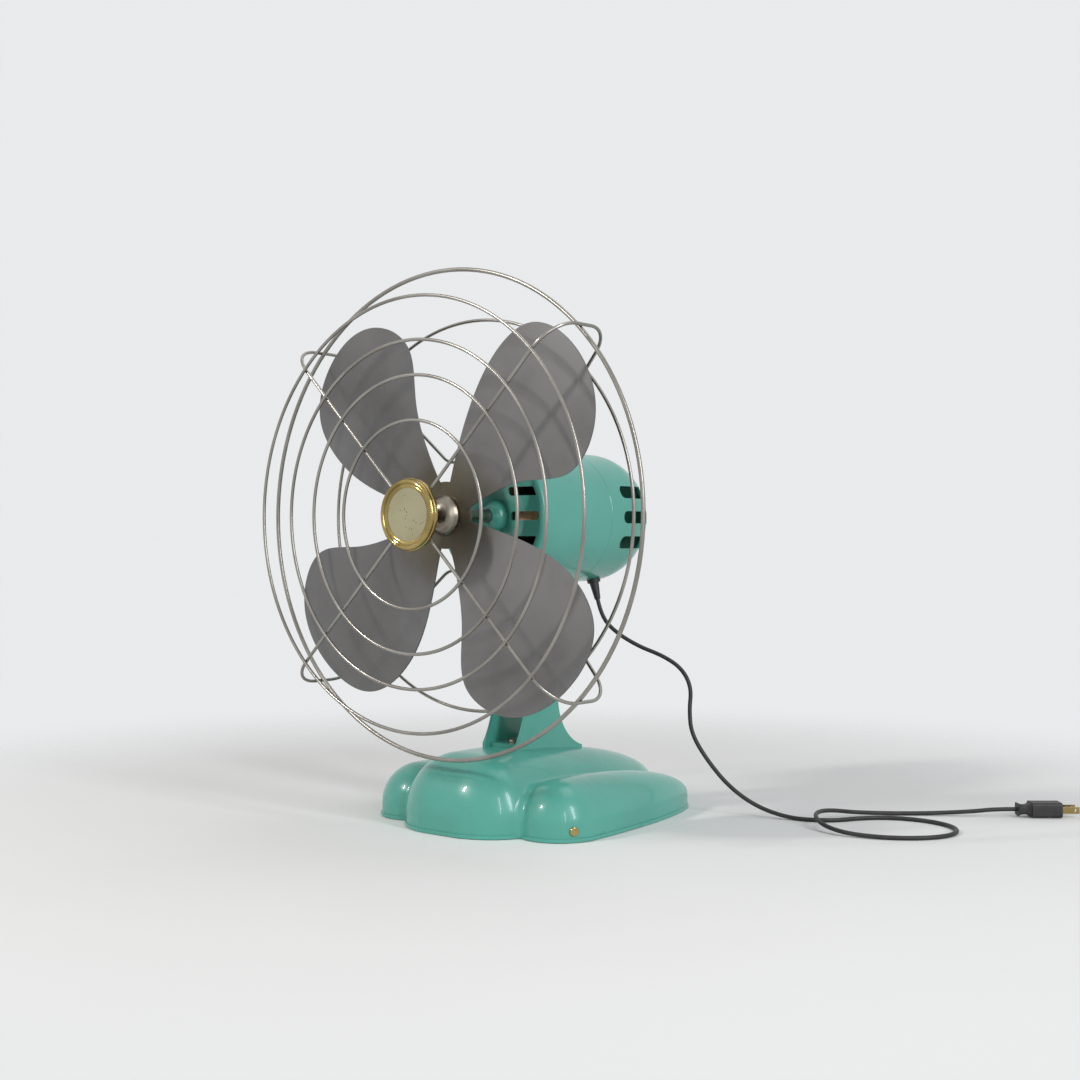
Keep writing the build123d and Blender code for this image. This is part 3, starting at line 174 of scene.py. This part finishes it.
# %% Bezel profile
MM_PER_M = 1000
SCREW_BORE = 2.4
BOSS_RADIUS = 6.0
BACK_DEPTH = 7.4
WINDOW_RADIUS = 23.3
WINDOW_LIP = 0.2
SEAT_RADIUS = 26.0
bezel_low, bezel_high = [Vector(corner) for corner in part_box("badge_bezel")]
disc_low, disc_high = [Vector(corner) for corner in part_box("badge_disc")]
disc_face = (disc_low.y - bezel_low.y) * MM_PER_M
disc_back = (disc_high.y - bezel_low.y) * MM_PER_M
boss_end = (bezel_high.y - bezel_low.y) * MM_PER_M

boss = [(boss_end, SCREW_BORE), (boss_end, BOSS_RADIUS), (BACK_DEPTH, BOSS_RADIUS)]
rim = [(BACK_DEPTH, 31.6), (7.0, 32.0), (4.6, 32.0), (4.2, 31.7), (3.9, 31.2)]
outer_roll = [
    (3.3, 31.3), (2.2, 31.1), (1.1, 30.5), (0.3, 29.5), (0.0, 28.6), (0.25, 27.7), (0.9, 27.1), (1.7, 26.9),
]
groove = [(1.9, 26.5), (1.6, 26.1), (1.6, 25.8)]
dish = [(2.1, 24.5), (2.45, 23.6), (disc_face - WINDOW_LIP, WINDOW_RADIUS), (disc_face, WINDOW_RADIUS)]
disc_seat = [(disc_face, SEAT_RADIUS), (disc_back, SEAT_RADIUS), (disc_back, SCREW_BORE)]
bezel_profile = boss + rim + outer_roll + groove + dish + disc_seat
print("bezel profile points:", len(bezel_profile))

# %% [markdown]
# ## Turning the bezel
# The spin operator does what a lathe does, and takes the profile round the badge's axis. A full turn
# merges its last ring with its first. A spin can leave a shape inside out, so the normals are worked
# out again once the doubles are gone. Faces that meet at more than 40 degrees keep a sharp edge, which
# leaves the roll soft and the shoulders crisp.

# %% Turned bezel
BEZEL_STEPS = 128
MERGE_DISTANCE = 0.00001
SHOULDER_ANGLE = 40
badge_axis = (bezel_low + bezel_high) / 2
turning = bmesh.new()
profile = [
    turning.verts.new((0, bezel_low.y + depth / MM_PER_M, badge_axis.z + radius / MM_PER_M))
    for depth, radius in bezel_profile
]
outline = [turning.edges.new(pair) for pair in zip(profile, profile[1:] + profile[:1])]
bmesh.ops.spin(
    turning, geom=profile + outline, cent=badge_axis, axis=(0, 1, 0), dvec=(0, 0, 0),
    angle=2 * math.pi, steps=BEZEL_STEPS, use_merge=True,
)
bmesh.ops.remove_doubles(turning, verts=turning.verts, dist=MERGE_DISTANCE)
bmesh.ops.recalc_face_normals(turning, faces=turning.faces)
for face in turning.faces:
    face.smooth = True
bezel_mesh = bpy.data.meshes.new("turned_bezel")
turning.to_mesh(bezel_mesh)
turning.free()
bezel_mesh.set_sharp_from_angle(angle=math.radians(SHOULDER_ANGLE))
bezel = put_in_scene("turned_bezel", bezel_mesh)
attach(bezel, "head")
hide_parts("badge_bezel")
print("bezel faces:", len(bezel_mesh.polygons))

# %% [markdown]
# ## A shader for each finish
# Enamel, metal and rubber all start from one Principled shader, whose own sockets hold what is the
# same all over a surface. Each could be set up node by node, but the fan has ten finishes. So one
# function makes a shader, one joins a node to it, and one lays the material on its pieces.

# %% Shader, wire and paint
COAT_ROUGHNESS = 0.06


def finish(name, roughness, metallic=0.0, coat=0.0):
    material = bpy.data.materials.new(name)
    material.use_nodes = True
    shader = material.node_tree.nodes["Principled BSDF"]
    shader.inputs["Roughness"].default_value = roughness
    shader.inputs["Metallic"].default_value = metallic
    shader.inputs["Coat Weight"].default_value = coat
    shader.inputs["Coat Roughness"].default_value = COAT_ROUGHNESS
    return material, shader


def wire(material, output, shader, socket):
    material.node_tree.links.new(output, shader.inputs[socket])


def paint(material, *names):
    for name in names:
        piece = nodes[name] if name in nodes else bpy.data.objects[name]
        piece.data.materials.clear()
        piece.data.materials.append(material)
    print(material.name, "on", len(names), "pieces")


print("each clear coat has a roughness of", COAT_ROUGHNESS)

# %% [markdown]
# ## Uneven tones
# No old finish is one flat colour. A picture could be wrapped round each piece, but a noise needs no
# unwrapping. It is read on Object coordinates, so it stays on the piece when the fan moves, and its
# scale says about how many patches fit in a metre. Most of a noise lies between 0.3 and 0.7, so the
# ramps run over that stretch, and they ease in and out so that no contour line shows.

# %% Uneven tones
NOISE_LOW = 0.3
NOISE_HIGH = 0.7


def object_noise(material, scale, detail=4.0, stretch=(1, 1, 1)):
    tree = material.node_tree
    place = tree.nodes.new("ShaderNodeTexCoord")
    mapping = tree.nodes.new("ShaderNodeMapping")
    mapping.inputs["Scale"].default_value = stretch
    noise = tree.nodes.new("ShaderNodeTexNoise")
    noise.inputs["Scale"].default_value = scale
    noise.inputs["Detail"].default_value = detail
    tree.links.new(place.outputs["Object"], mapping.inputs["Vector"])
    tree.links.new(mapping.outputs["Vector"], noise.inputs["Vector"])
    return noise.outputs["Fac"]


def tones(material, source, dark, light, low=NOISE_LOW, high=NOISE_HIGH, between=()):
    ramp = material.node_tree.nodes.new("ShaderNodeValToRGB")
    ramp.color_ramp.interpolation = "EASE"
    stops = ramp.color_ramp.elements
    for stop, position, colour in zip(stops, (low, high), (dark, light)):
        stop.position = position
        stop.color = (*colour, 1)
    for position, colour in between:
        stops.new(position).color = (*colour, 1)
    material.node_tree.links.new(source, ramp.inputs["Fac"])
    return ramp.outputs["Color"]


print("noise is read from", NOISE_LOW, "to", NOISE_HIGH)

# %% [markdown]
# ## Ranges
# Gloss, dust and wear need numbers rather than colours. A colour ramp could give them as greys, but a
# range says plainly which values go in and which come out, such as a noise that becomes a roughness.
# Smooth ends keep its limits from showing as lines.

# %% Ranges
RANGE_SOCKETS = ("From Min", "From Max", "To Min", "To Max")


def remapped(owner, source, taken, given, easing="SMOOTHSTEP"):
    span = owner.node_tree.nodes.new("ShaderNodeMapRange")
    span.interpolation_type = easing
    for socket, value in zip(RANGE_SOCKETS, (*taken, *given)):
        span.inputs[socket].default_value = value
    owner.node_tree.links.new(source, span.inputs["Value"])
    return span.outputs["Result"]


def spread(material, source, low, high):
    return remapped(material, source, (NOISE_LOW, NOISE_HIGH), (low, high))


print("a range has", len(RANGE_SOCKETS), "ends to set")

# %% [markdown]
# ## Layers and relief
# Dust and chips lie on a finish as a second layer. Two materials could share a piece, but a mix inside
# one material lets the second tone come and go by a factor. A bump bends the light as ripples or brush
# marks do, which are far too fine to be worth any faces.

# %% Layers and relief
def mixed(material, factor, first, second):
    mix = material.node_tree.nodes.new("ShaderNodeMix")
    mix.data_type = "RGBA"
    material.node_tree.links.new(factor, mix.inputs["Factor"])
    colour_sockets = [socket for socket in mix.inputs if socket.type == "RGBA"]
    for socket, value in zip(colour_sockets, (first, second)):
        if isinstance(value, tuple):
            socket.default_value = (*value, 1)
        else:
            material.node_tree.links.new(value, socket)
    return [socket for socket in mix.outputs if socket.type == "RGBA"][0]


def bumped(material, shader, source, strength, distance):
    bump = material.node_tree.nodes.new("ShaderNodeBump")
    bump.inputs["Strength"].default_value = strength
    bump.inputs["Distance"].default_value = distance
    material.node_tree.links.new(source, bump.inputs["Height"])
    material.node_tree.links.new(bump.outputs["Normal"], shader.inputs["Normal"])


print("layers by", mixed.__name__, "and relief by", bumped.__name__)

# %% [markdown]
# ## Mint enamel
# Base, yoke and motor shells are steel under baked gloss enamel. One green with a clear coat would do,
# and would look like new plastic. Sprayed enamel is never quite even, so two close greens drift into
# each other, a thin film of old dust lies on them in small clouds, and a very fine ripple breaks up
# the reflections.

# %% Mint enamel
MINT_DEEP = (0.082, 0.385, 0.312)
MINT_LIGHT = (0.100, 0.428, 0.354)
MINT_DUSTY = (0.088, 0.345, 0.270)
ENAMEL_SHINE = 0.4
enamel, shader = finish("mint_enamel", roughness=0.3, coat=0.3)
shader.inputs["Specular IOR Level"].default_value = ENAMEL_SHINE
mint = tones(enamel, object_noise(enamel, scale=9), MINT_DEEP, MINT_LIGHT)
film = spread(enamel, object_noise(enamel, scale=16, detail=7), low=0.0, high=0.4)
wire(enamel, mixed(enamel, film, mint, MINT_DUSTY), shader, "Base Color")
gloss = spread(enamel, object_noise(enamel, scale=25, detail=1), low=0.26, high=0.32)
wire(enamel, gloss, shader, "Roughness")
bumped(enamel, shader, object_noise(enamel, scale=35, detail=0), strength=0.03, distance=0.0003)
paint(enamel, "base_shell", "yoke", "front_housing", "rear_housing", "tilt_bracket")

# %% [markdown]
# ## Distance and arithmetic
# Some finishes change with the distance from a point or an axis. A gradient texture could give that,
# but the length of a vector is plainer: a Mapping node moves the centre to zero and flattens the
# direction that doesn't count. A second helper works on such values with a Math node.

# %% Distance and arithmetic
def distance_from(material, centre, flatten):
    tree = material.node_tree
    place = tree.nodes.new("ShaderNodeTexCoord")
    mapping = tree.nodes.new("ShaderNodeMapping")
    mapping.inputs["Location"].default_value = [-c * f for c, f in zip(centre, flatten)]
    mapping.inputs["Scale"].default_value = flatten
    length = tree.nodes.new("ShaderNodeVectorMath")
    length.operation = "LENGTH"
    tree.links.new(place.outputs["Object"], mapping.inputs["Vector"])
    tree.links.new(mapping.outputs["Vector"], length.inputs[0])
    return length.outputs["Value"]


def worked_out(owner, operation, *terms):
    step = owner.node_tree.nodes.new("ShaderNodeMath")
    step.operation = operation
    for socket, term in zip(step.inputs, terms):
        if isinstance(term, float):
            socket.default_value = term
        else:
            owner.node_tree.links.new(term, socket)
    return step.outputs["Value"]


hub_low, hub_high = [Vector(corner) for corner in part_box("hub")]
hub_middle = (hub_low + hub_high) / 2
print("the fan's axis lies", round(hub_middle.z, 4), "m above the table")

# %% [markdown]
# ## Painted shade round the hub
# Round the hub the blades are painted darker and brownish. This is painted shade with a painted reflection
# of the brass. It could be painted on by hand, but the distance from the fan's axis is enough to place it,
# and a noise added to that distance gives it a ragged edge. The axis comes from the hub's own box.

# %% Painted shade round the hub
# The painted shade near the hub fades out between these distances from the axis.
HUB_SHADE_INNER = 0.05
HUB_SHADE_OUTER = 0.105
HUB_SHADE_RAGGED = 0.05
blade_metal, shader = finish("blade_metal", roughness=0.4, metallic=0.75)
hub_distance = distance_from(blade_metal, hub_middle, flatten=(1, 0, 1))
hub_shade_edge_noise = object_noise(blade_metal, scale=24, detail=4)
ragged = worked_out(blade_metal, "MULTIPLY_ADD", hub_shade_edge_noise, HUB_SHADE_RAGGED, hub_distance)
beyond_hub_shade = remapped(blade_metal, ragged, (HUB_SHADE_INNER, HUB_SHADE_OUTER), (0, 1))
print("bloom fades from", HUB_SHADE_INNER, "to", HUB_SHADE_OUTER, "m, less the noise")

# %% [markdown]
# ## Blade metal
# The blades are one plain sheet of satin metal, brushed by hand and dulled in patches. A fully metallic
# shader would mirror too much for that. So a broad noise carries the clouds in tone, another one those
# in gloss, and a fine one that is drawn out along one direction gives the brush marks.

# %% Blade metal
SHEET_DARK = (0.142, 0.138, 0.136)
SHEET_MIDDLE = (0.178, 0.174, 0.173)
SHEET_LIGHT = (0.206, 0.203, 0.203)
PAINTED_HUB_SHADE_BROWN = (0.112, 0.096, 0.066)
clouds = object_noise(blade_metal, scale=11, detail=5)
sheet = tones(blade_metal, clouds, SHEET_DARK, SHEET_LIGHT, high=0.75, between=[(0.52, SHEET_MIDDLE)])
# Near the hub the sheet gives way to a brown tone, which is painted shade and painted brass reflection.
wire(blade_metal, mixed(blade_metal, beyond_hub_shade, PAINTED_HUB_SHADE_BROWN, sheet), shader, "Base Color")
dulling = spread(blade_metal, object_noise(blade_metal, scale=16, detail=5), low=0.42, high=0.54)
wire(blade_metal, dulling, shader, "Roughness")
brush_marks = object_noise(blade_metal, scale=420, detail=2, stretch=(1, 1, 0.08))
bumped(blade_metal, shader, brush_marks, strength=0.05, distance=0.0003)
paint(blade_metal, "fan_blades")

# %% [markdown]
# ## Nickel wire
# The guard is drawn steel wire with an old nickel plate, bright and slightly warm. A plain grey metal
# would look like new chrome. So the plate's tone and its gloss each wander a little along the wire, as
# they do where fingers have dulled it. Clips and the badge's fixings have the same plate.

# %% Nickel wire
NICKEL_DULL = (0.26, 0.245, 0.22)
NICKEL_BRIGHT = (0.35, 0.333, 0.305)
nickel, shader = finish("nickel_wire", roughness=0.3, metallic=1.0)
nickel_tone = tones(nickel, object_noise(nickel, scale=22, detail=2), NICKEL_DULL, NICKEL_BRIGHT)
wire(nickel, nickel_tone, shader, "Base Color")
nickel_gloss = spread(nickel, object_noise(nickel, scale=14, detail=1), low=0.25, high=0.31)
wire(nickel, nickel_gloss, shader, "Roughness")
paint(
    nickel, "guard_ring_1", "guard_ring_2", "guard_ring_3", "guard_ring_4", "guard_ring_5",
    "guard_rear_ring", "guard_frame_upper", "guard_frame_lower", "guard_clips", "guard_clip_screws",
    "badge_backplate", "badge_screw",
)

# %% [markdown]
# ## Turned steel
# The shaft, bolts, nuts and washers are bare steel from the lathe or the press. They could share the
# wire's plate, but bare steel is brighter and less even. One noise drives tone and gloss together: a
# brighter spot has been rubbed more, and its fine scratches make it a little rougher.

# %% Turned steel
STEEL_DARK = (0.30, 0.27, 0.23)
STEEL_BRIGHT = (0.52, 0.50, 0.46)
steel, shader = finish("turned_steel", roughness=0.32, metallic=1.0)
turned = object_noise(steel, scale=40, detail=3)
wire(steel, tones(steel, turned, STEEL_DARK, STEEL_BRIGHT), shader, "Base Color")
wire(steel, spread(steel, turned, low=0.26, high=0.4), shader, "Roughness")
paint(
    steel, "hub_grub_screw", "shaft", "tilt_bolt", "tilt_nut", "tilt_washers",
    "tilt_spacer", "bracket_rivets", "housing_screws",
    "base_bottom_plate", "front_thrust_washer", "front_collar", "rear_thrust_washer", "rear_collar",
)

# %% [markdown]
# ## Oiled steel
# The hub and the yoke's screws look darker and browner than the shaft, as steel does under an old film
# of oil. Darkening the turned steel would darken the bright shaft too, so these have a material of
# their own. Its noise is squeezed along the fan's axis into thin bands, like the marks of a lathe.

# %% Oiled steel
OILED_DARK = (0.17, 0.145, 0.11)
OILED_BRIGHT = (0.34, 0.31, 0.26)
oiled, shader = finish("oiled_hub_steel", roughness=0.3, metallic=1.0)
ground = object_noise(oiled, scale=60, detail=4, stretch=(1, 5, 1))
wire(oiled, tones(oiled, ground, OILED_DARK, OILED_BRIGHT), shader, "Base Color")
wire(oiled, spread(oiled, ground, low=0.24, high=0.38), shader, "Roughness")
paint(oiled, "hub", "hub_clamp", "yoke_screws", "yoke_nuts")

# %% [markdown]
# ## Brass
# The badge's ring, the screws in the base, the plug's blades and the motor's bushes are brass. A single
# gold tone looks like paint. Two golds, one a little browner, and a gloss that changes from spot to
# spot look like metal that was polished long ago and handled since.

# %% Brass
BRASS_BROWN = (0.28, 0.210, 0.075)
BRASS_GOLD = (0.45, 0.342, 0.135)
brass, shader = finish("polished_brass", roughness=0.16, metallic=1.0)
brass_tone = tones(brass, object_noise(brass, scale=45, detail=4), BRASS_BROWN, BRASS_GOLD, high=0.65)
wire(brass, brass_tone, shader, "Base Color")
brass_gloss = spread(brass, object_noise(brass, scale=120, detail=3), low=0.12, high=0.26)
wire(brass, brass_gloss, shader, "Roughness")
paint(brass, "turned_bezel", "base_side_screws", "plug_blades", "front_bearing", "rear_bearing")

# %% [markdown]
# ## Cream enamel
# The badge is a bare cream disc with a few pinhead chips in it. The chips could be modelled as dents,
# but they are only about a millimetre wide. A Voronoi pattern has one centre in each cell, and a dot is
# left round a centre where its distance is under a limit. A noise sets that limit to nothing over much
# of the disc, so the dots stay few and come in groups.

# %% Cream enamel
CREAM_AGED = (0.385, 0.350, 0.205)
CREAM_PALE = (0.44, 0.405, 0.25)
CHIP_BROWN = (0.13, 0.11, 0.06)
CHIP_CELLS = 300
CHIP_LIMIT = 0.2
CHIPS_START = 0.5
CHIPS_FULL = 0.62
cream, shader = finish("cream_enamel", roughness=0.35, coat=0.3)
chips = cream.node_tree.nodes.new("ShaderNodeTexVoronoi")
chips.inputs["Scale"].default_value = CHIP_CELLS
chip_place = cream.node_tree.nodes.new("ShaderNodeTexCoord")
cream.node_tree.links.new(chip_place.outputs["Object"], chips.inputs["Vector"])
groups = object_noise(cream, scale=55, detail=1)
limit = remapped(cream, groups, (CHIPS_START, CHIPS_FULL), (0.0, CHIP_LIMIT), easing="LINEAR")
chipped = worked_out(cream, "LESS_THAN", chips.outputs["Distance"], limit)
aged = tones(cream, object_noise(cream, scale=30, detail=3), CREAM_AGED, CREAM_PALE)
wire(cream, mixed(cream, chipped, aged, CHIP_BROWN), shader, "Base Color")
bumped(cream, shader, object_noise(cream, scale=90, detail=2), strength=0.06, distance=0.0004)
paint(cream, "badge_disc")

# %% [markdown]
# ## Rubber
# Cord, plug, grommet and feet are dark rubber. Pure black would swallow their shape, and a smooth black
# would look like plastic. So the tone is a very dark grey that drifts a little, and a fine bump gives
# the dull, slightly grainy skin of old rubber.

# %% Rubber
RUBBER_DARK = (0.016, 0.015, 0.016)
RUBBER_GREY = (0.030, 0.028, 0.029)
rubber, shader = finish("dark_rubber", roughness=0.55)
rubber_tone = tones(rubber, object_noise(rubber, scale=120, detail=4), RUBBER_DARK, RUBBER_GREY)
wire(rubber, rubber_tone, shader, "Base Color")
bumped(rubber, shader, object_noise(rubber, scale=700, detail=2), strength=0.15, distance=0.0003)
paint(rubber, "mains_cord", "plug_body", "cord_grommet", "base_feet")

# %% [markdown]
# ## Varnished copper
# Behind the front slots a winding of varnished copper wire shows. Its hundreds of turns could be swept
# one by one, but only a glimpse is in sight. A noise drawn out along the fan's axis gives fine strands,
# and the same noise drives the bump, so that a darker copper lies in the grooves as painted shade between
# the turns.

# %% Varnished copper
# The darker copper is painted shade in the grooves between the turns.
COPPER_GROOVE_SHADE = (0.66, 0.38, 0.20)
COPPER_BRIGHT = (0.90, 0.60, 0.36)
copper, shader = finish("varnished_copper", roughness=0.4, metallic=0.35, coat=0.4)
strands_and_groove_shade = object_noise(copper, scale=500, detail=2, stretch=(1, 0.05, 1))
# The darker copper follows the bump's grooves, as painted shade between the turns.
wire(copper, tones(copper, strands_and_groove_shade, COPPER_GROOVE_SHADE, COPPER_BRIGHT), shader, "Base Color")
bumped(copper, shader, strands_and_groove_shade, strength=0.4, distance=0.0006)
paint(copper, "stator_windings")

# %% [markdown]
# ## Core iron
# The cores of stator and rotor are stacks of thin iron sheets. Each sheet could be a solid of its own,
# but they are pressed tight and hardly show. A noise that is squeezed along the fan's axis, and drawn
# out across it, makes the fine stripes of such a stack.

# %% Core iron
IRON_DARK = (0.05, 0.05, 0.052)
IRON_GREY = (0.10, 0.10, 0.105)
iron, shader = finish("core_iron", roughness=0.6, metallic=0.6)
sheets = object_noise(iron, scale=900, detail=1, stretch=(0.02, 1, 0.02))
wire(iron, tones(iron, sheets, IRON_DARK, IRON_GREY), shader, "Base Color")
paint(iron, "stator_core", "rotor_core")

# %% [markdown]
# ## Floor
# The fan stands on a plain pale floor that keeps its shadow. A floor with an edge would draw a horizon
# behind the fan. A curved backdrop is the usual cure, but it suits one side only. Here the floor turns
# see-through with distance, and fades into a background of the same tone all round.

# %% Floor
FLOOR_REACH = 8
FLOOR_FULL = 0.36
FLOOR_GONE = 1.0
FLOOR_DARK = (0.895, 0.895, 0.89)
FLOOR_PALE = (0.91, 0.91, 0.905)
floor_mesh = bpy.data.meshes.new("studio_floor")
floor_build = bmesh.new()
bmesh.ops.create_grid(floor_build, x_segments=1, y_segments=1, size=FLOOR_REACH)
floor_build.to_mesh(floor_mesh)
floor_build.free()
floor = put_in_scene("studio_floor", floor_mesh)
pale, shader = finish("pale_floor", roughness=0.8)
wire(pale, tones(pale, object_noise(pale, scale=3), FLOOR_DARK, FLOOR_PALE), shader, "Base Color")
from_middle = distance_from(pale, (0, 0, 0), flatten=(1, 1, 1))
wire(pale, remapped(pale, from_middle, (FLOOR_FULL, FLOOR_GONE), (1, 0)), shader, "Alpha")
floor_mesh.materials.append(pale)
print("floor fades from", FLOOR_FULL, "to", FLOOR_GONE, "m")

# %% [markdown]
# ## Lamps
# One big soft light would show the colours, but no form. So a small lamp from the front left lets the
# guard throw faint shadows on the blades, two tall narrow ones from the right draw upright streaks on
# the enamel, and a broad one above fills in. Their level leaves colours about as they are written.

# %% Lamps
WARM = (1.0, 0.97, 0.93)
COOL = (0.95, 0.98, 1.0)
FAINTLY_WARM = (1, 0.99, 0.97)
WHITE = (1, 1, 1)


def soft_lamp(name, place, aim_height, size, power, colour):
    data = bpy.data.lights.new(name, "AREA")
    data.shape = "RECTANGLE"
    data.size, data.size_y = size
    data.energy = power
    data.color = colour
    lamp = put_in_scene(name, data)
    lamp.location = place
    aim = Vector((0, 0, aim_height))
    lamp.rotation_euler = (aim - Vector(place)).to_track_quat("-Z", "Y").to_euler()
    print(name, "gives", power, "W")


soft_lamp("key_lamp", (-0.9, -1.9, 1.65), aim_height=0.25, size=(0.12, 0.4), power=24, colour=WARM)
soft_lamp("side_lamp", (2.2, -0.4, 1.2), aim_height=0.25, size=(0.35, 1.4), power=22, colour=COOL)
soft_lamp("strip_lamp", (1.75, -1.25, 0.9), aim_height=0.2, size=(0.1, 1.1), power=5, colour=FAINTLY_WARM)
soft_lamp("top_lamp", (0.2, 0.6, 2.4), aim_height=0.2, size=(1.6, 1.0), power=6, colour=WHITE)

# %% [markdown]
# ## Background
# The background is nearly white to the eye, but a white world would also flood the fan with light. Light
# Path tells what a ray is for. The bright level goes to rays from the camera and to reflections, so that
# metal mirrors what the eye sees, and all other rays get a lower level.

# %% Background
BACKGROUND_TINT = (0.86, 0.87, 0.88, 1)
LIGHT_LEVEL = 0.37
SEEN_LEVEL = 0.95
world = bpy.data.worlds.new("studio")
bpy.context.scene.world = world
world.use_nodes = True
background = world.node_tree.nodes["Background"]
background.inputs["Color"].default_value = BACKGROUND_TINT
rays = world.node_tree.nodes.new("ShaderNodeLightPath")
seen = rays.outputs["Is Camera Ray"]
for kind in ("Is Glossy Ray", "Is Transmission Ray"):
    seen = worked_out(world, "MAXIMUM", seen, rays.outputs[kind])
level = remapped(world, seen, (0, 1), (LIGHT_LEVEL, SEEN_LEVEL), easing="LINEAR")
wire(world, level, background, "Strength")
bpy.context.scene.view_settings.view_transform = "Standard"
print("background level", SEEN_LEVEL, "to the eye and", LIGHT_LEVEL, "as light")
